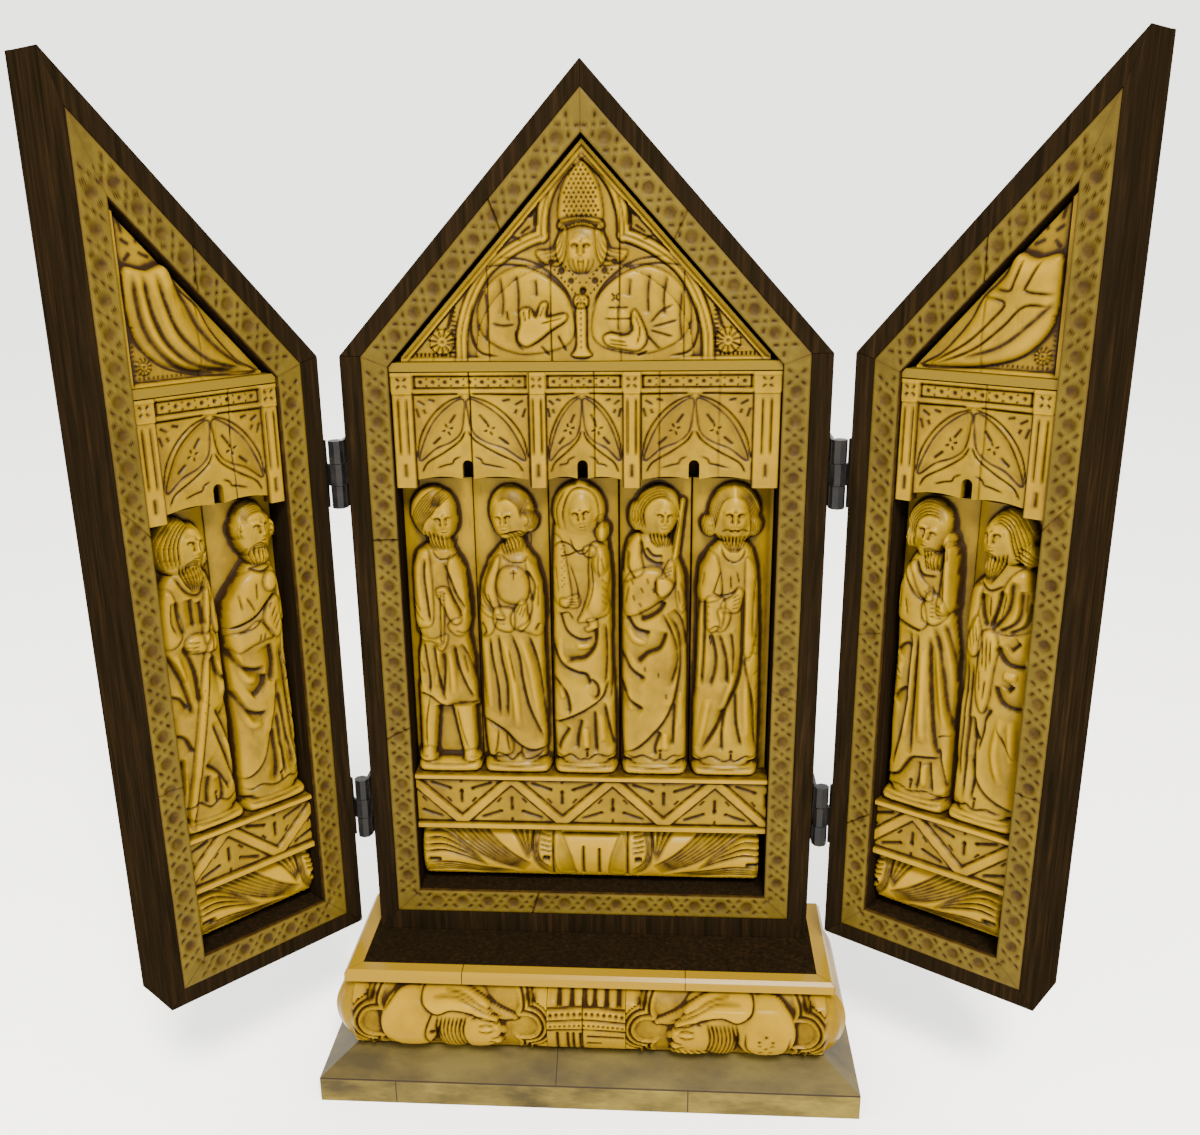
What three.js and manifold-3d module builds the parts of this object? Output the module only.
// Folding triptych altarpiece: a carved bone and dark wood shrine on a stepped base.
// Millimetres, +Z up. The origin is the centre of the underside of the base, the front faces -Y.
import * as THREE from "three";
import { mergeVertices } from "three/addons/utils/BufferGeometryUtils.js";
import Module from "manifold-3d";

const wasm = await Module();
wasm.setup();

// ---------------------------------------------------------------- driving dimensions
const GAP = 0.3; // clearance left between pieces that touch

const PLINTH_HALF_WIDTH = 141.7;
const PLINTH_HALF_DEPTH = 50.4;
const PLINTH_EDGE = 14; // upright edge of the plinth
const PLINTH_RUN = 17.4; // how far its sloping top runs in
const PLINTH_RISE = 11.3; // how far that slope rises
const BOLSTER_HEIGHT = 41.4; // cushion moulding between plinth and board
const BOLSTER_BULGE = 12; // how far it swells forward of its foot
const BOLSTER_LEVELS = 7;
const BOARD_THICKNESS = 6.6; // board that carries the panels
const BOARD_HALF_WIDTH = 127.1;
const BOARD_HALF_DEPTH = 39;
const EDGING_WIDTH = 8.5; // bone strip round the board

const PANEL_DEPTH = 30;
const BACK_BOARD = 5;
const RABBET = 2.6; // step that holds the bone border
const BORDER_PROUD = 0.4;
const FRONT_Y = 3; // front plane of the centre panel

const CENTRE_WIDTH = 232;
const CENTRE_SHOULDER = 311;
const CENTRE_PEAK = 438.2;
const CENTRE_MARGINS = { side: 10, bottom: 11, rake: 7.5 };

const WING_WIDTH = 113.6;
const WING_SHOULDER = 304.8;
const WING_PEAK = 432.2;
const WING_LIFT = 6.8; // wings hang clear of the board
const WING_MARGINS = { outer: 7.5, hinge: 9.3, bottom: 8.4, rake: 8.5 };
const BORDER_WIDTH = 12.8;

const HINGE_X = 120.2; // distance of each hinge line from the middle
const WING_EDGE = 4.2; // from each hinge line to the wing's edge
const HINGE_FORWARD = 3.2; // how far the pins stand in front of the panels
const HINGE_RADIUS = 3.7;
const HINGE_LENGTH = 33;
const BARREL_SIDES = 8;
const LEAF_THICKNESS = 1.5;
const LEAF_WIDTH = 13; // hinge leaf on the panel's edge, front to back
const HINGE_HEIGHTS = [75.5, 255]; // hinge middles above the board
const LEFT_OPENING = 49; // degrees forward of flat
const RIGHT_OPENING = 36;

// heights of the carved bands of the centre panel above the board, and of the wings above their foot
const CENTRE_BANDS = { roll: [29, 58.4], strip: [59, 62.4], ledge: [88.4, 91.4], foot: 92,
  canopy: [247, 251, 302.6], divider: [303.2, 307.4] };
const WING_BANDS = { roll: [25, 51.6], strip: [52.2, 55.6], ledge: [80, 83], foot: 83.6,
  canopy: [239, 243, 294.4], divider: [295, 299] };

const RECESS = PANEL_DEPTH - BACK_BOARD - GAP; // depth of the recess behind the front plane
const GROUND = 9; // thickness of a figure plaque behind its figure
const GABLE_GROUND = 15.4; // thickness of a gable tile's ground
const GABLE_LEVELS = 8;
const GABLE_DROP = 4.8; // how far a gable tile's sloping edges lie below the opening's peak

// depths behind the front plane of each panel
const CANOPY_FACE = 3.6;
const CANOPY_BACK = 8.6; // the hood is a thin slab below, solid above its scallops
const LEAF_FLOOR = 4.8; // floor of the leaves sunk in the canopy
const PILLAR_FACE = 2.2;
const BEAM_FACE = 3;
const DIVIDER_FACE = 2;
const LATTICE_FACE = 6;
const LATTICE_GROUND = 7.2;
const STRIP_FACE = 5.2;
const LEDGE_FACE = 4;

const SCALLOP = 10.4; // height of the canopy's open lower edge
const BEAM = [10, 2.4]; // canopy beam, from and to these distances below its top
const STRAP = 3.5; // half the upright width of a lattice strap
const ZIGZAG = 27; // half a period of the lattice

const BASE_TOP = PLINTH_EDGE + PLINTH_RISE + BOLSTER_HEIGHT + BOARD_THICKNESS;

// ---------------------------------------------------------------- materials
const material = (color, roughness, metalness = 0) => new THREE.MeshStandardMaterial({ color, roughness,
  metalness });
const DARK_WOOD = material(0x2a1c14, 0.55);
const BONE = material(0xc8ac6c, 0.38);
const GREY_BONE = material(0xa8976a, 0.5);
const BLACK_IRON = material(0x17161a, 0.45, 0.8);

// ---------------------------------------------------------------- mesh helpers
/** A closed mesh from points and triangles, turned so that its faces point out. */
function solid(points, triangles) {
  let volume = 0;
  const [a, b, c, normal] = [0, 1, 2, 3].map(() => new THREE.Vector3());
  for (const [i, j, k] of triangles) {
    a.fromArray(points[i]);
    b.fromArray(points[j]);
    c.fromArray(points[k]);
    volume += a.dot(normal.crossVectors(b, c));
  }
  const geometry = new THREE.BufferGeometry();
  geometry.setAttribute("position", new THREE.Float32BufferAttribute(points.flat(), 3));
  geometry.setIndex(triangles.flatMap(([i, j, k]) => (volume > 0 ? [i, j, k] : [i, k, j])));
  return geometry;
}

/** Triangles that close a planar loop of points, wound the way the loop runs. */
function capOf(loop) {
  const normal = [0, 1, 2].map((axis) => {
    const [u, v] = [(axis + 1) % 3, (axis + 2) % 3];
    return loop.reduce((sum, p,
      i) => sum + p[u] * loop[(i + 1) % loop.length][v] - p[v] * loop[(i + 1) % loop.length][u], 0);
  });
  const sizes = normal.map(Math.abs);
  const drop = sizes.indexOf(Math.max(...sizes));
  const flat = loop.map((point) => new THREE.Vector2(point[(drop + 1) % 3], point[(drop + 2) % 3]));
  const triangles = THREE.ShapeUtils.triangulateShape(flat, []);
  const first = triangles[0].map((i) => flat[i]);
  const sameWay = THREE.ShapeUtils.area(first) > 0 === normal[drop] > 0;
  return triangles.map(([i, j, k]) => (sameWay ? [i, j, k] : [i, k, j]));
}

/** Rings of equal length, each a closed loop of points, skinned into one solid with flat ends. */
function skin(rings) {
  const count = rings[0].length;
  const last = (rings.length - 1) * count;
  const triangles = capOf(rings[0]).map(([i, j, k]) => [i, k, j]);
  for (let r = 0; r + 1 < rings.length; r++) {
    for (let i = 0; i < count; i++) {
      const j = (i + 1) % count;
      const [p, q] = [r * count, (r + 1) * count];
      triangles.push([p + i, p + j, q + j], [p + i, q + j, q + i]);
    }
  }
  for (const corners of capOf(rings[rings.length - 1])) triangles.push(corners.map((i) => last + i));
  return solid(rings.flat(), triangles);
}

/** A flat outline in X and Z, given thickness from depth y0 to y1. */
function plate(outline, y0, y1) {
  return skin([y0, y1].map((y) => outline.map(([x, z]) => [x, y, z])));
}

function box(x0, x1, y0, y1, z0, z1) {
  return plate([[x0, z0], [x1, z0], [x1, z1], [x0, z1]], y0, y1);
}

/** A carved slab: a grid of places (x, z) whose front stands height(x, z) forward of the back plane. */
function carve(places, height, back) {
  const rows = places.length;
  const columns = places[0].length;
  const points = [];
  for (const row of places) {
    for (const [x, z] of row) points.push([x, back - height(x, z), z]);
  }
  const triangles = [];
  for (let r = 0; r + 1 < rows; r++) {
    for (let c = 0; c + 1 < columns; c++) {
      const i = r * columns + c;
      const [south, north] = [i, i + columns];
      const across = Math.abs(points[south][1] - points[north + 1][1]);
      const other = Math.abs(points[south + 1][1] - points[north][1]);
      if (across < other) triangles.push([south, south + 1, north + 1], [south, north + 1, north]);
      else triangles.push([south, south + 1, north], [south + 1, north + 1, north]);
    }
  }
  const rim = [];
  for (let c = 0; c < columns; c++) rim.push(c);
  for (let r = 1; r < rows; r++) rim.push(r * columns + columns - 1);
  for (let c = columns - 2; c >= 0; c--) rim.push((rows - 1) * columns + c);
  for (let r = rows - 2; r > 0; r--) rim.push(r * columns);
  return solid(...closeBehind(points, triangles, rim, back));
}

/** Closes a carved front with flat sides and a flat back that has a point only at each corner of the rim. */
function closeBehind(points, triangles, rim, back) {
  const turns = (i) => {
    const [a, b, c] = [rim[(i + rim.length - 1) % rim.length], rim[i],
      rim[(i + 1) % rim.length]].map((j) => points[j]);
    return Math.abs((b[0] - a[0]) * (c[2] - b[2]) - (b[2] - a[2]) * (c[0] - b[0])) > 1e-6;
  };
  const corners = rim.map((_, i) => i).filter(turns);
  const first = points.length;
  for (const i of corners) points.push([points[rim[i]][0], back, points[rim[i]][2]]);
  corners.forEach((start, k) => {
    const [here, next] = [first + k, first + ((k + 1) % corners.length)];
    const end = corners[(k + 1) % corners.length];
    for (let i = start; i !== end; i = (i + 1) % rim.length) triangles.push([rim[i], here,
      rim[(i + 1) % rim.length]]);
    triangles.push([rim[end], here, next]);
  });
  for (const [i, j, k] of capOf(points.slice(first))) triangles.push([first + i, first + k, first + j]);
  return [points, triangles];
}

function toManifold(geometry) {
  const plain = geometry.clone();
  for (const name of ["normal", "uv"]) plain.deleteAttribute(name);
  const merged = mergeVertices(plain, 1e-4);
  const vertProperties = new Float32Array(merged.getAttribute("position").array);
  const triVerts = new Uint32Array(merged.getIndex().array);
  return new wasm.Manifold(new wasm.Mesh({ numProp: 3, vertProperties, triVerts }));
}

function fromManifold(whole) {
  const mesh = whole.getMesh();
  const geometry = new THREE.BufferGeometry();
  const positions = [];
  for (let i = 0; i < mesh.vertProperties.length; i += mesh.numProp) {
    positions.push(...mesh.vertProperties.slice(i, i + 3));
  }
  geometry.setAttribute("position", new THREE.Float32BufferAttribute(positions, 3));
  geometry.setIndex([...mesh.triVerts]);
  return geometry;
}

const joined = (geometries) => geometries.map(toManifold).reduce((sum, next) => sum.add(next));
const join = (...geometries) => fromManifold(joined(geometries));
const clip = (geometries, limits) => fromManifold(joined(geometries).intersect(toManifold(limits)));
const cut = (whole, tools) => fromManifold(toManifold(whole).subtract(joined(tools)));

function addMesh(group, name, geometry, look) {
  const shape = geometry.index ? geometry.toNonIndexed() : geometry;
  shape.computeVertexNormals();
  const mesh = new THREE.Mesh(shape, look);
  mesh.name = name;
  group.add(mesh);
}

// ---------------------------------------------------------------- outlines
/** Corners of a convex outline moved in by one distance for each side; side i runs from corner i to i + 1. */
function inset(outline, distances) {
  const middle = outline.reduce(([sx, sz], [x, z]) => [sx + x / outline.length, sz + z / outline.length],
    [0, 0]);
  const lines = outline.map(([x, z], i) => {
    const [nx, nz] = outline[(i + 1) % outline.length];
    const length = Math.hypot(nx - x, nz - z);
    const along = [(nx - x) / length, (nz - z) / length];
    let normal = [-along[1], along[0]];
    if ((middle[0] - x) * normal[0] + (middle[1] - z) * normal[1] < 0) normal = [along[1], -along[0]];
    return { at: [x + normal[0] * distances[i], z + normal[1] * distances[i]], along };
  });
  return lines.map((line, i) => {
    const before = lines[(i + lines.length - 1) % lines.length];
    const cross = before.along[0] * line.along[1] - before.along[1] * line.along[0];
    const step = (line.at[0] - before.at[0]) * line.along[1] - (line.at[1] - before.at[1]) * line.along[0];
    return [before.at[0] + (before.along[0] * step) / cross,
      before.at[1] + (before.along[1] * step) / cross];
  });
}

const spread = (from, to, count) => Array.from({ length: count + 1 },
  (_, i) => from + ((to - from) * i) / count);
const blend = (a, b, t) => a + (b - a) * t;

/** Value at z of a list of rows [z, value, ...], straight between rows; column picks the value. */
function along(rows, z, column) {
  if (z <= rows[0][0]) return rows[0][column];
  for (let i = 1; i < rows.length; i++) {
    if (z <= rows[i][0]) return blend(rows[i - 1][column], rows[i][column],
      (z - rows[i - 1][0]) / (rows[i][0] - rows[i - 1][0]));
  }
  return rows[rows.length - 1][column];
}

// ---------------------------------------------------------------- carved forms
/** A low dome on a turned ellipse: centre, half width, half height, turn in degrees, height. */
function dome(x, z, [cx, cz, rx, rz, turn, top]) {
  const angle = THREE.MathUtils.degToRad(turn);
  const [dx, dz] = [x - cx, z - cz];
  const across = (dx * Math.cos(angle) + dz * Math.sin(angle)) / rx;
  const up = (dz * Math.cos(angle) - dx * Math.sin(angle)) / rz;
  const inside = 1 - across * across - up * up;
  return inside > 0 ? top * (0.35 + 0.65 * Math.sqrt(inside)) : 0;
}

/** A round limb from one point to another: ends, radii and heights at both ends. */
function limb(x, z, [x0, z0, x1, z1, r0, r1, top0, top1]) {
  const [dx, dz] = [x1 - x0, z1 - z0];
  const t = THREE.MathUtils.clamp(((x - x0) * dx + (z - z0) * dz) / (dx * dx + dz * dz), 0, 1);
  const distance = Math.hypot(x - x0 - t * dx, z - z0 - t * dz) / blend(r0, r1, t);
  return distance < 1 ? blend(top0, top1, t) * (0.45 + 0.55 * Math.sqrt(1 - distance * distance)) : 0;
}

/** How much a chiselled line takes away: depth and half width, then the points it runs through. */
function groove(x, z, [depth, width, ...path]) {
  let nearest = Infinity;
  for (let i = 0; i + 1 < path.length; i++) {
    const [[x0, z0], [x1, z1]] = [path[i], path[i + 1]];
    const [dx, dz] = [x1 - x0, z1 - z0];
    const t = THREE.MathUtils.clamp(((x - x0) * dx + (z - z0) * dz) / (dx * dx + dz * dz), 0, 1);
    nearest = Math.min(nearest, Math.hypot(x - x0 - t * dx, z - z0 - t * dz));
  }
  return depth * Math.exp(-((nearest / width) ** 2));
}

/** A draped body between a left and a right edge: rows of [z, left, right, height]. */
function body(x, z, rows) {
  if (z < rows[0][0] || z > rows[rows.length - 1][0]) return 0;
  const [left, right, top] = [1, 2, 3].map((column) => along(rows, z, column));
  const side = (2 * x - left - right) / (right - left);
  return Math.abs(side) < 1 ? top * (0.4 + 0.6 * Math.sqrt(1 - Math.abs(side) ** 2.4)) : 0;
}

function relief(x, z, { rows, domes = [], limbs = [], grooves = [] }) {
  const forms = [rows ? body(x, z, rows) : 0, ...domes.map((form) => dome(x, z, form)),
    ...limbs.map((form) => limb(x, z, form))];
  const raised = Math.max(...forms);
  return Math.max(0, raised - grooves.reduce((sum, line) => sum + groove(x, z, line), 0));
}

// Figures stand on an oval foot. In their tables x runs to the viewer's right from the middle of the
// plaque and z up from its foot: a draped body, then domes and limbs laid on it, then chiselled folds.
const PLAQUE_HEIGHT = 157;
const FIGURE_LEVELS = [0, 6, 9, 15, 24, 33, 42, 52, 63, 74, 83, 92, 100, 108, 116, 122, 127, 133, 140, 148,
  154.5, PLAQUE_HEIGHT];
const FIGURE_COLUMNS = 7; // strips across a figure, inside its edges
const FIGURES = {
  staff_bearer: {
    half: 17.6,
    rows: [[37, -13.8, 17.8, 8], [62, -13.6, 16, 9], [76, -11.5, 14, 9.5], [84, -14, 15.5, 10],
      [112, -14, 13.5, 10], [123, -9, 7, 7]],
    domes: [[-1.5, 140.5, 12, 14, 0, 10.5], [3.5, 137, 7.5, 11, 0, 11.5], [6, 125, 8, 5.5, 20, 11],
      [4.5, 73, 4.2, 3.6, 0, 12],
      [1.8, 100, 3.6, 3.8, 0, 12.5], [-11, 7.5, 5.5, 3.4, 0, 9], [12, 7.5, 5.5, 3.4, 0, 9]],
    limbs: [[-13, 3.2, 15, 3.2, 3.6, 3.6, 10.5, 10.5], [-1, 128, 0, 120, 6, 7, 8, 8],
      [-12, 117, -11.5, 86, 4.6, 5, 10, 11],
      [-10, 79, 2, 75, 4.2, 3, 11.5, 11.5], [12, 113, 14, 84, 4.6, 4.6, 10, 11],
        [13, 83, 4, 97, 4.2, 2.8, 11.5, 12],
      [4.5, 108, 3.5, 66, 1.4, 1.4, 11.5, 11.5], [-8.5, 41, -11, 9, 5, 3.2, 8, 7],
        [9, 38, 11.5, 9, 5.8, 3.2, 8, 7]],
    grooves: [[3, 1.6, [-7, 74], [-5, 56], [-4, 42]], [3, 1.6, [2, 70], [1, 50]],
      [3, 1.6, [9, 72], [15, 42]]],
  },
  mantled_man: {
    half: 18.6,
    rows: [[7, -15.5, 16, 7], [30, -17.3, 16.5, 9], [76, -17.2, 15, 9.5], [86, -17.6, 16, 10.5],
      [104, -16.5, 16, 10.5], [118, -10, 11, 9], [123, -6, 8, 7]],
    domes: [[1, 141, 10.5, 14, 10, 10.5], [-3, 138, 6.5, 11, 8, 11.5], [4, 126.5, 7.5, 6.5, 0, 11],
      [11, 138, 4, 5, 0, 9],
      [1.5, 108, 8.5, 11, 0, 12], [-3.5, 88, 6.5, 6, 0, 12], [0, 7.5, 12, 3.4, 0, 9]],
    limbs: [[-13, 3.2, 14, 3.2, 3.6, 3.6, 10.5, 10.5], [2, 126, 3, 118, 5, 6, 8, 8],
      [-12, 112, -13, 82, 5, 4.4, 11, 10.5],
      [12.5, 112, 13, 84, 4.6, 4.6, 11, 11], [12, 82, 5, 84, 4.4, 4, 11.5, 12],
        [5, 85, 6.5, 96, 3.4, 2.6, 12.5, 12.5]],
    grooves: [[3, 1.7, [-12, 72], [-9, 50], [-8, 32]], [3, 1.7, [-6, 70], [-4, 50], [-4, 30]],
      [3, 1.7, [2, 76], [6, 55], [8, 35], [13, 14]],
      [3.5, 1.5, [-17, 29], [-8, 26], [0, 16], [8, 12], [16, 13]],
        [2.5, 1.4, [11, 76], [15, 40], [17, 18]]],
  },
  mother_and_child: {
    half: 17.2,
    rows: [[7, -16.4, 15.4, 8], [30, -16.4, 15, 9], [60, -16.2, 14.2, 9.5], [85, -15.6, 13.2, 10],
      [110, -15.6, 13.8, 10], [124, -14, 12, 9], [130, -12, 11, 8]],
    domes: [[-1, 141.5, 13, 14, 0, 10], [-1.5, 138, 8, 10.5, 8, 11.5], [9, 133, 5, 6.5, 0, 11.5],
      [7.5, 114, 6.8, 13, 0, 12],
      [2, 97, 9.5, 11, 0, 11.5], [-6, 96, 5.2, 4, 10, 12.5], [-10, 8, 6, 3.4, 0, 9], [9, 8, 6, 3.4, 0, 9]],
    limbs: [[-12.6, 3.2, 12.6, 3.2, 3.6, 3.6, 10.5, 10.5], [-12, 124, -9, 100, 3.6, 4.6, 10.5, 11.5],
      [-14, 110, -11, 90, 3, 4, 10, 11]],
    grooves: [[3, 1.6, [-15, 66], [-11, 59], [-3, 56], [2, 50]],
      [3, 1.5, [-9, 86], [-6, 78], [0, 74], [5, 76]], [3, 1.5, [5, 72], [1, 65], [-9, 62]],
      [3.5, 1.6, [-16, 26], [-8, 30], [3, 36], [9, 46]], [3, 1.5, [-2, 29], [-3, 12]],
        [3, 1.5, [5, 32], [6, 14]], [2.5, 1.5, [11, 40], [13, 16]]],
  },
  palm_bearer: {
    half: 17.6,
    rows: [[7, -16.5, 16.5, 8], [30, -16.8, 16.8, 9], [60, -17, 16.8, 9.5], [85, -16.8, 15.5, 10],
      [108, -16, 12.5, 10], [121, -13, 9, 9], [129, -8, 5, 7]],
    domes: [[1, 140.5, 11.5, 14, -12, 10.5], [4.5, 137, 6.8, 10.5, -8, 11.5], [4, 126, 6, 6.4, -10, 11],
      [-7, 138, 5, 8, 0, 9.5],
      [7, 110, 4.4, 6.4, -15, 12.5], [-4.5, 98, 12, 10.5, 15, 12], [-10, 8, 6, 3.4, 0, 9],
        [10, 8, 6, 3.4, 0, 9]],
    limbs: [[-12.8, 3.2, 13, 3.2, 3.6, 3.6, 10.5, 10.5], [-11, 122, -12, 104, 4.6, 4.6, 10, 11],
      [8.5, 112, 13, 146, 2.8, 1.8, 9.5, 7],
      [13, 108, 14, 90, 3, 2.6, 9.5, 9], [1, 128, 2, 121, 5, 6, 8, 8]],
    grooves: [[3, 1.5, [-14, 86], [-8, 79], [0, 79]], [3, 1.6, [-7, 61], [-1, 67], [4, 75], [6, 84]],
      [3, 1.5, [-16, 60], [-10, 55], [-5, 52]],
      [3, 1.5, [-15, 44], [-11, 37], [-4, 35]], [3.5, 1.7, [-17, 11], [-8, 13], [2, 22], [9, 36], [12, 58],
        [11, 74], [6, 86]], [2.5, 1.4, [4, 22], [3, 10]]],
  },
  long_robed_man: {
    half: 18,
    rows: [[7, -17, 17, 8], [40, -16.6, 16.8, 9], [80, -15.6, 16, 9.5], [100, -15.4, 15, 10],
      [115, -13.5, 13, 10], [124, -9, 11, 8]],
    domes: [[2.5, 139.5, 12.6, 14, 0, 9.5], [2.5, 138, 8, 12, 0, 11.5], [2.6, 125.5, 7, 6.6, 0, 11],
      [4, 97, 5.6, 4.8, 20, 12.5],
      [-5.5, 90, 6, 9.5, 0, 12], [-10, 8, 6, 3.4, 0, 9], [10, 8, 6, 3.4, 0, 9]],
    limbs: [[-13, 3.2, 13.2, 3.2, 3.6, 3.6, 10.5, 10.5], [-11, 116, -11, 94, 4.6, 4.8, 10.5, 11],
      [12, 116, 12.6, 84, 4, 4, 10, 10],
      [-4, 84, 4, 90, 3.6, 3.4, 11.5, 12], [2.6, 124, 2.6, 118, 5, 6, 8, 8]],
    grooves: [[3.5, 1.7, [8, 62], [2, 38], [-12, 16]], [3, 1.5, [-6, 72], [-5, 50], [-6, 34]],
      [3, 1.5, [-11, 84], [-13, 40]],
      [3, 1.5, [3, 76], [4, 50]], [3, 1.5, [4, 32], [2, 12]], [3, 1.4, [12, 62], [12, 30], [15, 12]]],
  },
  cross_bearer: {
    half: 17,
    rows: [[7, -14, 13.5, 7], [60, -14, 13, 8], [95, -13.6, 12.4, 9.5], [112, -12.6, 11.4, 9.5],
      [121, -9, 8, 8]],
    domes: [[-1.5, 140.5, 12, 14, 0, 10.5], [1, 139, 8, 11, 0, 11.5], [2.8, 126, 6.6, 7.6, 0, 11.5],
      [10.5, 132, 4.4, 4, 0, 12],
      [-1, 96.5, 8.5, 6, -6, 12.5], [0, 8, 9, 3.4, 0, 9]],
    limbs: [[-11.5, 3.2, 11.5, 3.2, 3.6, 3.6, 10.5, 10.5], [8, 112, 10.5, 128, 3.4, 3, 11, 11.5],
      [-10, 114, -9, 98, 4.4, 4.4, 10.5, 11.5],
      [1.5, 92, -11.5, 12, 3.6, 3.6, 12, 11.5], [-13, 66, 11, 14, 3.4, 3.4, 10, 10]],
    grooves: [[3, 1.5, [6, 88], [9, 60], [4, 40]], [2.5, 1.5, [-8, 84], [-11, 62]]],
  },
  book_bearer: {
    half: 17.6,
    rows: [[7, -16, 13.5, 8], [40, -17, 13, 9], [80, -17, 11.5, 9.5], [100, -16.8, 11.5, 10],
      [112, -14, 11.5, 10], [122, -8, 10, 8]],
    domes: [[1.6, 140, 10.8, 14, -6, 10.5], [1.2, 139, 7, 11, -6, 11.5], [1.6, 128, 6.8, 7, 0, 11.5],
      [3, 117, 5, 5, 0, 12.5],
      [-6, 100, 11, 13, 20, 12], [-9, 8, 6, 3.4, 0, 9], [7, 8, 6, 3.4, 0, 9]],
    limbs: [[-12.6, 3.2, 10.6, 3.2, 3.6, 3.6, 10.5, 10.5], [8.5, 116, 9, 96, 3.4, 3.4, 10.5, 10.5],
      [2, 100, 1, 90, 4, 3.6, 12, 12]],
    grooves: [[3, 1.6, [-17, 84], [-14, 76], [-4, 71]], [3, 1.6, [-3, 65], [-11, 57]],
      [3, 1.6, [-17, 62], [-14, 52], [-4, 48]],
      [3.5, 1.7, [-16, 14], [-11, 18], [-5, 28], [-1, 42], [2, 58]], [2.5, 1.4, [2, 50], [0, 14]],
        [2.5, 1.4, [7, 60], [8, 14]]],
  },
  mourning_man: {
    half: 17.6,
    rows: [[7, -12.6, 16.6, 7.5], [30, -12.4, 16.8, 8.5], [60, -12.4, 16, 9], [92, -13, 12, 10],
      [112, -13.6, 9.5, 10], [122, -10, 7, 8]],
    domes: [[-1, 140.5, 11.4, 14, 0, 10.5], [3, 137, 7.2, 11, 0, 11.5], [2, 126.5, 6, 6, 0, 11.5],
      [6.6, 105, 5.8, 4.6, 0, 12.5],
      [2.5, 112, 3.6, 5, -20, 12], [0, 8, 12, 3.4, 0, 9]],
    limbs: [[-11, 3.2, 13, 3.2, 3.6, 3.6, 10.5, 10.5], [13, 112, 9.8, 138, 3.2, 2.8, 10, 9],
      [-9, 118, -8, 98, 5, 5.6, 11, 12], [-7, 97, 4, 102, 5.2, 4.4, 12, 12.5],
      [-1, 128, 0, 121, 5, 6, 8, 8]],
    grooves: [[3, 1.6, [6, 92], [10, 60], [14, 28]], [3, 1.5, [-2, 90], [-3, 50], [-4, 20]],
      [3, 1.5, [4, 88], [6, 50], [9, 30]],
      [3.5, 1.5, [-12, 13], [-5, 16], [0, 26], [13, 28]], [3, 1.5, [-12, 78], [-6, 84]],
        [3, 1.5, [-12, 55], [-6, 62]]],
  },
  old_man: {
    half: 17.2,
    rows: [[7, -15.4, 14, 8], [50, -14.6, 14, 9], [85, -14.6, 13.6, 10], [110, -14, 12.6, 10.5],
      [121, -8, 12, 9], [130, -4, 11, 7]],
    domes: [[1, 141, 11, 13.6, 8, 10.5], [-3.5, 138, 6.4, 11, 0, 11], [-3, 127, 6, 9.4, 0, 11.5],
      [8.5, 134, 5, 7, 0, 10], [-7.5, 95, 4.6, 7, 0, 12],
      [-4, 8, 9, 3.4, 0, 9]],
    limbs: [[-12, 3.2, 11, 3.2, 3.6, 3.6, 10.5, 10.5], [-11, 112, -10, 100, 3.6, 3.8, 10.5, 11.5],
      [9.5, 118, 9, 92, 4.8, 4.6, 11, 11], [7, 92, -3, 99, 4, 3, 11.5, 12]],
    grooves: [[3, 1.6, [0, 98], [6, 88], [14, 84]], [3, 1.6, [1, 88], [4, 72], [14, 64]],
      [3, 1.5, [-4, 84], [-5, 62], [0, 44]],
      [3.5, 1.7, [-3, 44], [-1, 26], [5, 15], [13, 11]], [3, 1.5, [-9, 82], [-9, 50], [-12, 14]],
        [3, 1.5, [0, 60], [-2, 40]]],
  },
};

/** A bone plaque with one standing figure, between x - half and x + half. */
function figure(spec, x, foot) {
  const head = spec.domes[0];
  const places = FIGURE_LEVELS.map((z) => {
    let [left, right] = [along(spec.rows, z, 1), along(spec.rows, z, 2)];
    if (z > spec.rows[spec.rows.length - 1][0]) {
      const lean = Math.sqrt(Math.max(0.05, 1 - ((z - head[1]) / head[3]) ** 2));
      [left, right] = [head[0] - head[2] * lean, head[0] + head[2] * lean];
    }
    const inner = spread(left + 0.8, right - 0.8, FIGURE_COLUMNS);
    const edge = spec.half - 0.4;
    const shares = [-spec.half, Math.max(left - 0.5, -edge), ...inner, Math.min(right + 0.5, edge),
      spec.half];
    return shares.map((across) => [x + THREE.MathUtils.clamp(across, -spec.half, spec.half), foot + z]);
  });
  const half = spec.half;
  const round = (across) => GROUND - 2.2 * (across / half) ** 4;
  return carve(places, (px, pz) => round(px - x) + relief(px - x, pz - foot, spec), RECESS - GAP);
}

// ---------------------------------------------------------------- carved bands
/** The centre gable: a mitred half figure under a trefoil arch, x from the middle, z above the board. */
const GABLE_SAINT = {
  domes: [[0, 312, 52, 42, 0, 4.2], [0, 359, 11.5, 11, 0, 5.2], [0, 357, 7.4, 10.6, 0, 6],
    [0, 372, 10.4, 22, 0, 5.4],
    [16.5, 327, 7, 7, 0, 6], [-24, 324, 7, 4.6, 20, 5.8], [24, 321, 6, 6, 0, 5.6], [-67, 317, 9, 7, 0, 2],
      [67, 317, 9, 7, 0, 2]],
  limbs: [[-42, 321, -10, 327, 4, 1.6, 5.4, 5.8], [45, 323, 27, 321, 5, 4, 5.2, 5.6],
    [-7, 361, -17, 354, 3.4, 2.6, 5.2, 4.8],
    [7, 361, 17, 354, 3.4, 2.6, 5.2, 4.8], [-16, 352, -1, 337, 3.4, 3.4, 5.4, 5.8],
      [16, 352, 0, 337, 3.4, 3.4, 5.4, 5.8],
    [-0.8, 334, -0.8, 312, 2.4, 2.4, 5.6, 5]],
};
const TREFOIL = [[57.5, 309], [55.5, 328], [48, 345], [36, 356], [18.5, 361.5], [18, 373], [14, 386],
  [7.5, 394], [0, 400]];

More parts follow.
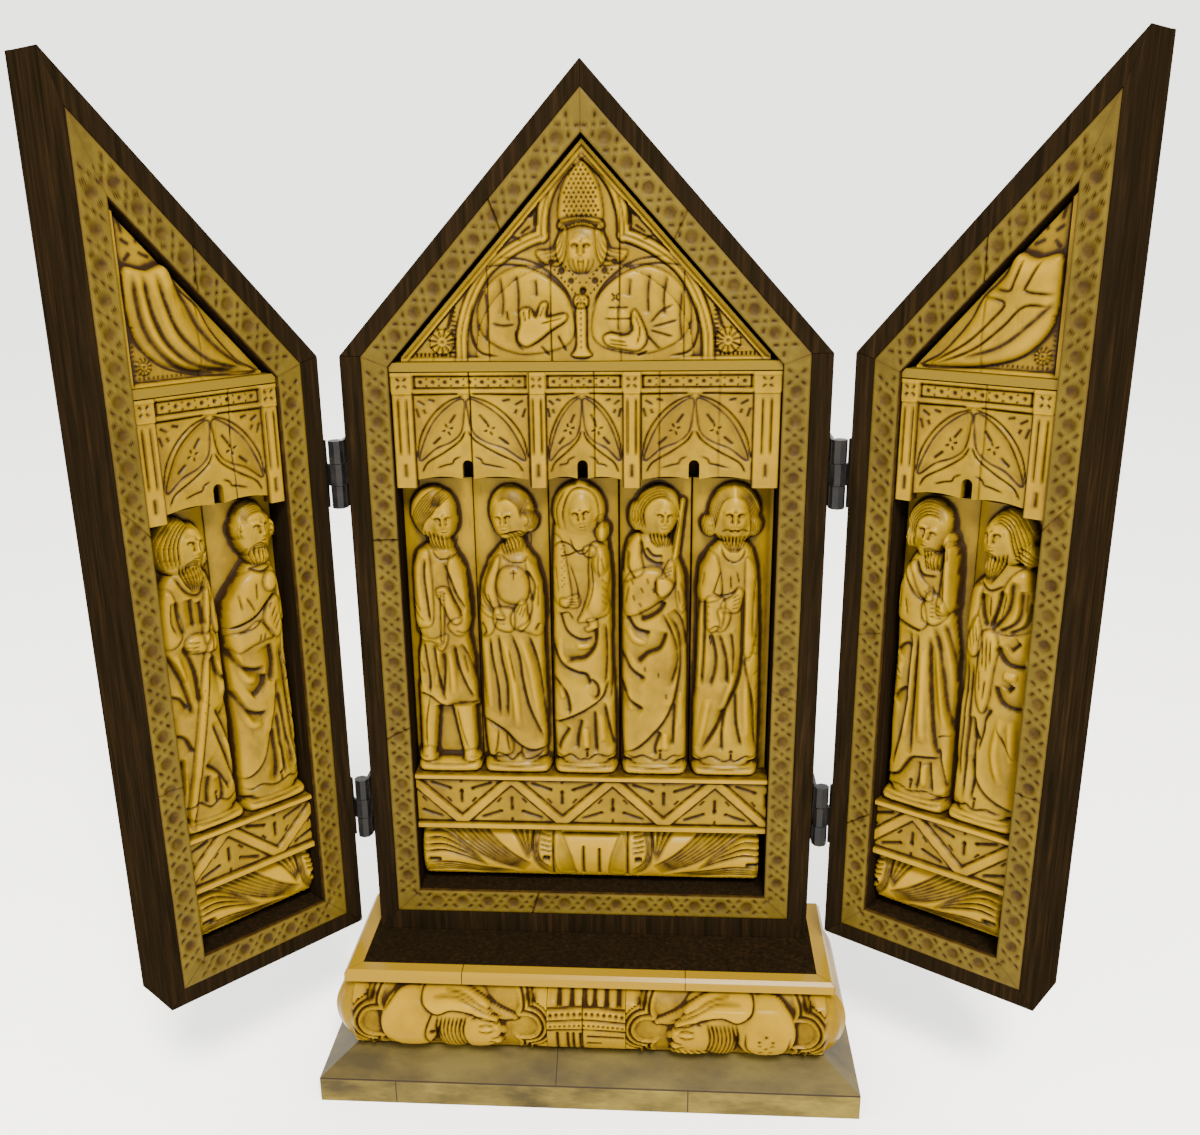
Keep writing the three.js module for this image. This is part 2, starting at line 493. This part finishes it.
// A wing's gable: a mantle that falls in wide folds from the tall side, u from the hinge edge.
const MANTLE = { rows: [[300, 30, 66, 3], [309, 38, 78, 4], [320, 47, 85, 4.6], [332, 55, 88, 4.8],
  [341, 64, 88.6, 4.8], [349, 70, 88.8, 4.6]] };
const MANTLE_FOLDS = {
  left: [[1.6, 1.6, [34, 303], [52, 310], [63, 322], [72, 346]],
    [1.6, 1.6, [40, 302], [60, 307], [72, 318], [80, 346]],
    [1.6, 1.6, [50, 301], [66, 305], [78, 316], [85, 344]]],
  right: [[1.4, 1.4, [31, 303], [48, 312], [62, 322], [66, 330], [56, 331]],
    [1.4, 1.4, [36, 302], [52, 308], [66, 320], [75, 328], [86, 328]],
    [1.4, 1.4, [64, 334], [68, 336], [72, 346]], [1.4, 1.4, [80, 346], [76, 334], [86, 334]]],
};

/** A gable tile between two ends: flat foot, sloping top, carved by height(x, z). */
function gableTile(stations, foot, top, height) {
  const places = spread(0, 1, GABLE_LEVELS).map((v) => stations.map((x) => [x,
    blend(foot, Math.max(top(x), foot + 1), v)]));
  return carve(places, height, RECESS - GAP);
}

function centreGable(opening, slope) {
  const foot = CENTRE_BANDS.divider[1] + GAP;
  const top = (x) => opening - GABLE_DROP - slope * Math.abs(x);
  const half = (top(0) - foot - 2) / slope;
  const oneSide = [3, 8, 14, 20, 28, 38, 47, 55, 59, 68, half];
  const stations = [...oneSide.map((x) => -x).reverse(), ...oneSide];
  const height = (x, z) => {
    const rib = groove(Math.abs(x), z, [3.4, 2.4, ...TREFOIL]);
    return GABLE_GROUND + Math.max(relief(x, z, GABLE_SAINT), rib);
  };
  return gableTile(stations, foot, top, height);
}

function wingGable(side, opening, slope, reach) {
  const foot = WING_BANDS.divider[1] + GAP;
  const top = (u) => opening - GABLE_DROP + slope * u;
  const start = (foot + 2 - top(0)) / slope;
  const stations = [start, 33, 38, 43, 49, 55, 60, 65, 70, 75, 80, 84, 88.4, reach - GAP];
  const mantle = { rows: MANTLE.rows, grooves: MANTLE_FOLDS[side < 0 ? "left" : "right"] };
  const places = (u) => side * (WING_EDGE + u);
  const height = (x, z) => GABLE_GROUND + relief(side * x - WING_EDGE, z, mantle);
  return gableTile(stations.map(places), foot, (x) => top(side * x - WING_EDGE), height);
}

/** One bay of the canopy's lower edge, left to right: half scallop, keyhole, half scallop. */
function bayEdge(left, right, key, low) {
  const [west, east] = [blend(left, key, 0.5), blend(right, key, 0.5)];
  return [[left, low + 0.2], [west, low + 1.4], [key - 2.3, low], [key - 2.3, low + 7],
    [key - 1.4, low + 8.8], [key, low + 9.4],
    [key + 1.4, low + 8.8], [key + 2.3, low + 7], [key + 2.3, low], [east, low + 1.4], [right, low + 0.2]];
}

/** A pointed leaf sunk in the canopy beside a bay's middle. */
function leaf(key, reach, low, depth) {
  const shape = [[0.05, 38], [0.38, 33], [0.7, 24], [1, 10.6], [0.62, 14.6], [0.2, 17.4], [0.04, 23],
    [0.03, 30]];
  return plate(shape.map(([share, rise]) => [key + reach * share, low + rise]), -1, depth);
}

/** A canopy of three or one ogee bays: pillars are [from, to], keys the bay middles. */
function canopy(pillars, keys, [pillarFoot, low, top]) {
  const edge = [[pillars[0][0], pillarFoot]];
  pillars.forEach(([from, to], i) => {
    if (i > 0) edge.push([from, pillarFoot]);
    edge.push([to, pillarFoot]);
    if (i < keys.length) edge.push(...bayEdge(to, pillars[i + 1][0], keys[i], low));
  });
  const right = pillars[pillars.length - 1][1];
  const outline = [...edge, [right, top], [pillars[0][0], top]];
  const front = plate(outline, CANOPY_FACE, CANOPY_BACK);
  const block = box(pillars[0][0], right, CANOPY_BACK - 0.6, RECESS - GAP, low + SCALLOP, top);
  const posts = pillars.map(([from, to]) => box(from, to, PILLAR_FACE, CANOPY_BACK - 1, pillarFoot,
    top - BEAM[0]));
  const beam = box(pillars[0][0], right, BEAM_FACE, CANOPY_BACK - 1, top - BEAM[0], top - BEAM[1]);
  const leaves = keys.flatMap((key, i) => [-1, 1].map((way) => {
    const limit = way < 0 ? pillars[i][1] : pillars[i + 1][0];
    return leaf(key, way * (Math.abs(limit - key) - 2.4), low, LEAF_FLOOR);
  }));
  return cut(join(front, block, ...posts, beam), leaves);
}

/** Ledge, zigzag lattice and strip as one piece between x0 and x1; the zigzag has a low point at x = low. */
function frieze(x0, x1, low, bands) {
  const [foot, head] = [bands.strip[1], bands.ledge[0]];
  const straps = [];
  for (let k = Math.floor((x0 - low) / ZIGZAG); k * ZIGZAG + low < x1; k++) {
    const [from, to] = [low + k * ZIGZAG, low + (k + 1) * ZIGZAG];
    const [start, end] = k % 2 === 0 ? [foot + 1, head - 0.5] : [head - 0.5, foot + 1];
    const outline = [[from, start - STRAP], [to, end - STRAP], [to, end + STRAP], [from, start + STRAP]];
    straps.push(plate(outline, LATTICE_FACE, LATTICE_GROUND + 1));
  }
  const lattice = clip(straps, box(x0, x1, LATTICE_FACE - 1, LATTICE_GROUND + 2, foot - 0.2, head + 0.2));
  const ground = box(x0, x1, LATTICE_GROUND, RECESS - GAP, bands.strip[0], bands.ledge[1]);
  const strip = box(x0, x1, STRIP_FACE, LATTICE_GROUND + 1, ...bands.strip);
  const ledge = box(x0, x1, LEDGE_FACE, LATTICE_GROUND + 1, ...bands.ledge);
  return join(ground, lattice, strip, ledge);
}

/** A lying roll of leaves: half round, cut by ties and sweeping lines, x0 to x1. */
function roll(x0, x1, ties, sweeps, [low, high]) {
  const stations = [x0, ...spread(x0 + 1.2, x1 - 1.2, Math.round((x1 - x0) / 7)), x1];
  const levels = [0, 0.05, 0.25, 0.5, 0.75, 0.95, 1].map((share) => blend(low, high, share));
  const middle = (low + high) / 2;
  const height = (x, z) => {
    const across = (2 * (z - middle)) / (high - low);
    const round = 4.5 + 14 * Math.sqrt(Math.max(0, 1 - across * across));
    const end = x === x0 || x === x1 ? 1.6 : 0;
    const carved = [...ties, ...sweeps].reduce((sum, line) => sum + groove(x, z, line), 0);
    return Math.max(3, round - end - carved);
  };
  return carve(levels.map((z) => stations.map((x) => [x, z])), height, RECESS - GAP);
}

// ---------------------------------------------------------------- panels
/** One board or strip along a side of nested outlines: profile points are [outline, depth]. */
function mitred(side, profile) {
  const ends = [side, (side + 1) % profile[0][0].length];
  const rings = ends.map((corner) => profile.map(([outline, y]) => [outline[corner][0], y,
    outline[corner][1]]));
  const middle = rings.map((ring) => new THREE.Vector3(...ring[0]));
  const step = middle[1].clone().sub(middle[0]).setLength(GAP / 2);
  const moved = (ring, way) => ring.map(([x, y, z]) => [x + way * step.x, y, z + way * step.z]);
  return skin([moved(rings[0], 1), moved(rings[1], -1)]);
}

/** The bone border that lies in the rabbet, one closed ring. */
function borderRing(outer, inner) {
  const profile = [[outer, -BORDER_PROUD], [inner, -BORDER_PROUD], [inner, RABBET - GAP],
    [outer, RABBET - GAP]];
  const count = outer.length;
  const points = profile.flatMap(([outline, y]) => outline.map(([x, z]) => [x, y, z]));
  const triangles = [];
  for (let p = 0; p < profile.length; p++) {
    for (let i = 0; i < count; i++) {
      const [a, b] = [p * count + i, p * count + ((i + 1) % count)];
      const [c, d] = [((p + 1) % profile.length) * count + i,
        ((p + 1) % profile.length) * count + ((i + 1) % count)];
      triangles.push([a, b, d], [a, d, c]);
    }
  }
  return solid(points, triangles);
}

/** Back board, mitred boards and border of a panel. */
function panelCase(group, name, outline, sides, margins) {
  const border = margins.map((margin) => margin + BORDER_WIDTH);
  const rim = inset(outline, margins);
  const ringOuter = inset(outline, margins.map((margin) => margin + GAP));
  const opening = inset(outline, border);
  sides.forEach((side, i) => {
    const front = PANEL_DEPTH - BACK_BOARD - GAP;
    const profile = [[outline, 0], [rim, 0], [rim, RABBET], [opening, RABBET], [opening, front],
      [outline, front]];
    addMesh(group, `${name}_${side}`, mitred(i, profile), DARK_WOOD);
  });
  addMesh(group, `${name}_back_board`, plate(outline, PANEL_DEPTH - BACK_BOARD, PANEL_DEPTH), DARK_WOOD);
  addMesh(group, `${name}_border`, borderRing(ringOuter, opening), BONE);
  return opening;
}

function centrePanel() {
  const panel = new THREE.Group();
  const half = CENTRE_WIDTH / 2;
  const slope = (CENTRE_PEAK - CENTRE_SHOULDER) / half;
  const outline = [[-half, 0], [half, 0], [half, CENTRE_SHOULDER], [0, CENTRE_PEAK],
    [-half, CENTRE_SHOULDER]];
  const { side, bottom, rake } = CENTRE_MARGINS;
  const sides = ["bottom_rail", "right_stile", "right_rake", "left_rake", "left_stile"];
  const opening = panelCase(panel, "centre", outline, sides, [bottom, side, rake, rake, side]);
  const reach = opening[1][0] - GAP;
  addMesh(panel, "centre_gable_tile", centreGable(opening[3][1], slope), BONE);
  const [low, high] = CENTRE_BANDS.divider;
  const [corner, shoulder] = [(opening[3][1] - high) / slope - 2 * GAP,
    opening[3][1] - slope * reach - 2 * GAP];
  const bar = [[-reach, low], [reach, low], [reach, shoulder], [corner, high], [-corner, high],
    [-reach, shoulder]];
  addMesh(panel, "centre_divider", plate(bar, DIVIDER_FACE, RECESS - GAP), BONE);
  const pillars = [[-reach, -82.4], [-27, -18.4], [18.2, 26.8], [79.8, reach]];
  addMesh(panel, "centre_canopy", canopy(pillars, [-57.3, -1.3, 52.4], CENTRE_BANDS.canopy), BONE);
  const names = ["staff_bearer", "mantled_man", "mother_and_child", "palm_bearer", "long_robed_man"];
  const middles = [-75.4, -38.6, -2, 33.8, 70.4];
  names.forEach((name, i) => addMesh(panel, `centre_${name}`,
    figure(FIGURES[name], middles[i], CENTRE_BANDS.foot), BONE));
  addMesh(panel, "centre_frieze", frieze(-reach, reach, -69, CENTRE_BANDS), BONE);
  const ties = [[3, 2, [-30, 58], [-27, 44], [-20, 29]], [3, 2, [30, 58], [31, 44], [26, 29]],
    [3, 1.6, [-17.5, 56], [-11, 44], [-8, 29]], [3, 1.6, [18, 56], [12, 44], [11, 29]]];
  const sweeps = [[2, 2, [-75, 56], [-55, 40], [-30, 31]], [2, 2, [-92, 52], [-70, 45]],
    [2, 2, [76, 56], [55, 42], [36, 31]],
    [2, 2, [90, 50], [62, 45]], [2, 2, [-60, 57], [-42, 40], [-34, 33]],
      [2, 2, [58, 57], [44, 42], [36, 34]]];
  addMesh(panel, "centre_roll", roll(-91.4, 90, ties, sweeps, CENTRE_BANDS.roll), BONE);
  return panel;
}

/** A wing hung on its pin at the origin and open flat; side is -1 for the left and 1 for the right. */
function wingPanel(side) {
  const panel = new THREE.Group();
  const name = side < 0 ? "left" : "right";
  const slope = (WING_PEAK - WING_SHOULDER) / WING_WIDTH;
  const place = ([u, z]) => [side * (WING_EDGE + u), z];
  const outline = [[0, 0], [WING_WIDTH, 0], [WING_WIDTH, WING_PEAK], [0, WING_SHOULDER]].map(place);
  const { outer, hinge, bottom, rake } = WING_MARGINS;
  const sides = ["bottom_rail", "outer_stile", "rake", "hinge_stile"];
  panelCase(panel, name, outline, sides, [bottom, outer, rake, hinge]);
  const [from, to] = [hinge + BORDER_WIDTH + GAP, WING_WIDTH - outer - BORDER_WIDTH - GAP];
  const ends = [side * (WING_EDGE + from), side * (WING_EDGE + to)].sort((a, b) => a - b);
  const openingStart = WING_SHOULDER - (rake + BORDER_WIDTH) * Math.hypot(1, slope);
  addMesh(panel, `${name}_gable_tile`, wingGable(side, openingStart, slope, to), BONE);
  const [low, high] = WING_BANDS.divider;
  const [corner, shoulder] = [(high - openingStart) / slope + 2 * GAP,
    openingStart + slope * from - 2 * GAP];
  const bar = [[from, low], [to, low], [to, high], [corner, high], [from, shoulder]].map(place);
  addMesh(panel, `${name}_divider`, plate(bar, DIVIDER_FACE, RECESS - GAP), BONE);
  const mirror = (pairs) => pairs.map((pair) => pair.map((u) => side * (WING_EDGE + u)).sort((a,
    b) => a - b)).sort((a, b) => a[0] - b[0]);
  addMesh(panel, `${name}_canopy`, canopy(mirror([[from, 30.6], [83, to]]), [side * (WING_EDGE + 56.4)],
    WING_BANDS.canopy), BONE);
  const names = side < 0 ? ["cross_bearer", "book_bearer"] : ["mourning_man", "old_man"];
  const middles = side < 0 ? [75.7, 40.3] : [40.3, 75.5];
  names.forEach((who, i) => addMesh(panel, `${name}_${who}`, figure(FIGURES[who],
    side * (WING_EDGE + middles[i]), WING_BANDS.foot), BONE));
  addMesh(panel, `${name}_frieze`, frieze(ends[0], ends[1], side * (WING_EDGE + (side < 0 ? 43 : 69)),
    WING_BANDS), BONE);
  const line = (depth, width, ...path) => [depth, width, ...path.map(place)];
  const ties = [line(3, 2, [34, 50], [31, 38], [34, 26]), line(3, 1.6, [26, 50], [24, 38], [26, 26])];
  const sweeps = [line(2, 2, [76, 50], [60, 42], [40, 28]), line(2, 2, [88, 44], [66, 38]),
    line(2, 2, [60, 50], [48, 38], [38, 30])];
  addMesh(panel, `${name}_roll`, roll(ends[0] + 0.6, ends[1] - 3, ties, sweeps, WING_BANDS.roll), BONE);
  return panel;
}

// ---------------------------------------------------------------- hinges
/** Half of a butt hinge: side is the way its leaf lies, knuckles the stretches of barrel it carries. */
function hingeHalf(side, knuckles) {
  const ring = Array.from({ length: BARREL_SIDES }, (_, i) => {
    const angle = (2 * i * Math.PI) / BARREL_SIDES;
    return [HINGE_RADIUS * Math.cos(angle), HINGE_RADIUS * Math.sin(angle)];
  });
  const barrel = ([z0, z1]) => skin([z0, z1].map((z) => ring.map(([x, y]) => [x, y, z])));
  const leafOut = WING_EDGE - GAP;
  const [x0, x1] = [side * (leafOut - LEAF_THICKNESS), side * leafOut].sort((a, b) => a - b);
  const leafY = HINGE_RADIUS + 0.5;
  const leafPlate = box(x0, x1, leafY, leafY + LEAF_WIDTH, 0, HINGE_LENGTH);
  const lugs = knuckles.map(([z0, z1]) => box(x0, x1, 0, leafY + 1, z0, z1));
  return join(leafPlate, ...knuckles.map(barrel), ...lugs);
}

const KNUCKLE = HINGE_LENGTH / 3;
const OUTER_KNUCKLES = [[0, KNUCKLE], [2 * KNUCKLE, HINGE_LENGTH]];
const MIDDLE_KNUCKLE = [[KNUCKLE + GAP, 2 * KNUCKLE - GAP]];

// ---------------------------------------------------------------- base
const BOLSTER_FOOT = PLINTH_EDGE + PLINTH_RISE;
const BOLSTER_MIDDLE = BOLSTER_FOOT + BOLSTER_HEIGHT / 2;
const BOLSTER_END = PLINTH_HALF_WIDTH - PLINTH_RUN;
const BOLSTER_DEPTH = PLINTH_HALF_DEPTH - PLINTH_RUN;
const SLEEPERS = {
  left: { domes: [[-97, 2, 17, 17, 0, 4], [-56, 1, 11, 11, 0, 4], [-73, 0, 9, 13, 0, 3.4],
    [-46, -1, 3, 5, 0, 4]],
    limbs: [[-88, 12, -64, 14, 6, 5, 4.4, 4.4], [-64, 14, -40, 6, 5, 2, 4.4, 3.4]] },
  right: { domes: [[91, 2, 20, 17, 0, 4], [54, 0, 11, 11, 0, 4], [73, 0, 9, 14, 0, 3.4],
    [44, -1, 3, 5, 0, 4], [58, -9, 12, 5, 0, 3.6]],
    limbs: [[86, 12, 60, 13, 6, 5, 4.4, 4.4], [60, 13, 32, 6, 5, 2, 4.4, 3.4]] },
};

/** How far the carving stands off the cushion of the base, v measured from the middle of its height. */
function sleeper(x, v, name) {
  const centre = name === "left" ? -75 : 75;
  const oval = Math.hypot((x - centre) / 50, v / 22);
  const ring = 2.4 * Math.exp(-(((oval - 0.94) / 0.09) ** 2));
  return Math.max(ring, relief(x, v, SLEEPERS[name]));
}

/** A stretch of the cushion moulding: plan points in front, and behind, each [x, y, outward x, outward y]. */
function bolster(plan, carving) {
  const levels = spread(-1, 1, BOLSTER_LEVELS);
  const radius = ((BOLSTER_HEIGHT / 2) ** 2 + BOLSTER_BULGE ** 2) / (2 * BOLSTER_BULGE);
  const rings = levels.map((share) => {
    const v = (share * (BOLSTER_HEIGHT - 2 * GAP)) / 2;
    const bulge = Math.sqrt(radius ** 2 - v ** 2) - (radius - BOLSTER_BULGE);
    return plan.map(([x, y, outX, outY]) => {
      const front = outY < -0.9 && Math.abs(share) < 1 ? carving(x, v) * Math.min(1,
        3 * (1 - Math.abs(share))) : 0;
      const out = Math.max(0.2, bulge - 1.5) + front;
      return [x + outX * out, y + outY * out, BOLSTER_MIDDLE + v];
    });
  });
  return skin(rings);
}

function sideBolster(side) {
  const name = side < 0 ? "left" : "right";
  const seam = 20.6;
  const corner = BOLSTER_END - 2;
  const stations = [seam, 25, 29, 35, 41, 46, 51, 57, 62, 67, 73, 79, 85, 91, 98, 105, 111, 117, 121];
  const front = stations.map((x) => [side * x, -BOLSTER_DEPTH, 0, -1]);
  const turn = [30, 60].map((angle) => THREE.MathUtils.degToRad(angle));
  const frontCorner = turn.map((angle) => [side * corner, -BOLSTER_DEPTH + 2, side * Math.sin(angle),
    -Math.cos(angle)]);
  const end = [[side * BOLSTER_END, -BOLSTER_DEPTH + 2, side, 0],
    [side * BOLSTER_END, BOLSTER_DEPTH - 2, side, 0]];
  const backCorner = turn.map((angle) => [side * corner, BOLSTER_DEPTH - 2, side * Math.cos(angle),
    Math.sin(angle)]);
  const back = [[side * (corner - 1), BOLSTER_DEPTH, 0, 1], [side * seam, BOLSTER_DEPTH, 0, 1]];
  return bolster([...front, ...frontCorner, ...end, ...backCorner, ...back], (x, v) => sleeper(x, v, name));
}

function centreBolster() {
  const front = spread(-20.3, 20.3, 8).map((x) => [x, -BOLSTER_DEPTH, 0, -1]);
  const back = [20.3, -20.3].map((x) => [x, BOLSTER_DEPTH, 0, 1]);
  const bands = (x, v) => 2.4 + (Math.abs(v - 4) < 6 ? 1 : 0);
  return bolster([...front, ...back], bands);
}

function plinth() {
  const ring = (halfWidth, halfDepth, z) => [[-1, -1], [1, -1], [1, 1],
    [-1, 1]].map(([sx, sy]) => [sx * halfWidth, sy * halfDepth, z]);
  const top = BOLSTER_FOOT - GAP;
  const rings = [ring(PLINTH_HALF_WIDTH, PLINTH_HALF_DEPTH, 0),
    ring(PLINTH_HALF_WIDTH, PLINTH_HALF_DEPTH, PLINTH_EDGE), ring(BOLSTER_END, BOLSTER_DEPTH, top)];
  return skin(rings);
}

/** The board under the panels and the bone strips mitred round its front and ends. */
function board(group) {
  const foot = BOLSTER_FOOT + BOLSTER_HEIGHT + GAP;
  const profile = [[0, foot], [0, BASE_TOP - 1.8], [1.6, BASE_TOP], [EDGING_WIDTH, BASE_TOP],
    [EDGING_WIDTH, foot]];
  const mitre = (side, clear) => profile.map(([w, z]) => [side * (BOARD_HALF_WIDTH - w - GAP + clear),
    w + clear - BOARD_HALF_DEPTH, z]);
  const sawn = (side) => profile.map(([w, z]) => [side * (BOARD_HALF_WIDTH - w), BOARD_HALF_DEPTH, z]);
  addMesh(group, "edging_front", skin([mitre(-1, 0), mitre(1, 0)]), BONE);
  addMesh(group, "edging_left", skin([mitre(-1, GAP), sawn(-1)]), BONE);
  addMesh(group, "edging_right", skin([mitre(1, GAP), sawn(1)]), BONE);
  const [halfWidth, front] = [BOARD_HALF_WIDTH - EDGING_WIDTH - GAP, EDGING_WIDTH + GAP - BOARD_HALF_DEPTH];
  addMesh(group, "base_board", box(-halfWidth, halfWidth, front, BOARD_HALF_DEPTH, foot, BASE_TOP),
    DARK_WOOD);
}

// ---------------------------------------------------------------- assembly
const altarpiece = new THREE.Group();

const base = new THREE.Group();
addMesh(base, "base_plinth", plinth(), GREY_BONE);
addMesh(base, "bolster_left", sideBolster(-1), BONE);
addMesh(base, "bolster_centre", centreBolster(), BONE);
addMesh(base, "bolster_right", sideBolster(1), BONE);
board(base);
altarpiece.add(base);

const centre = centrePanel();
centre.position.set(0, FRONT_Y, BASE_TOP + GAP);
altarpiece.add(centre);

for (const side of [-1, 1]) {
  const name = side < 0 ? "left" : "right";
  const pin = new THREE.Group();
  pin.position.set(side * HINGE_X, FRONT_Y - HINGE_FORWARD, BASE_TOP + GAP);
  const swing = new THREE.Group();
  swing.rotation.z = -side * THREE.MathUtils.degToRad(side < 0 ? LEFT_OPENING : RIGHT_OPENING);
  const wing = wingPanel(side);
  wing.position.set(0, HINGE_FORWARD, WING_LIFT);
  swing.add(wing);
  HINGE_HEIGHTS.forEach((height, i) => {
    const level = i === 0 ? "lower" : "upper";
    const foot = height - HINGE_LENGTH / 2;
    const [fixed, moving] = [new THREE.Group(), new THREE.Group()];
    addMesh(fixed, `${name}_${level}_hinge_fixed`, hingeHalf(-side, OUTER_KNUCKLES), BLACK_IRON);
    addMesh(moving, `${name}_${level}_hinge_moving`, hingeHalf(side, MIDDLE_KNUCKLE), BLACK_IRON);
    fixed.position.z = foot;
    moving.position.z = foot;
    pin.add(fixed);
    swing.add(moving);
  });
  pin.add(swing);
  altarpiece.add(pin);
}

export default altarpiece;
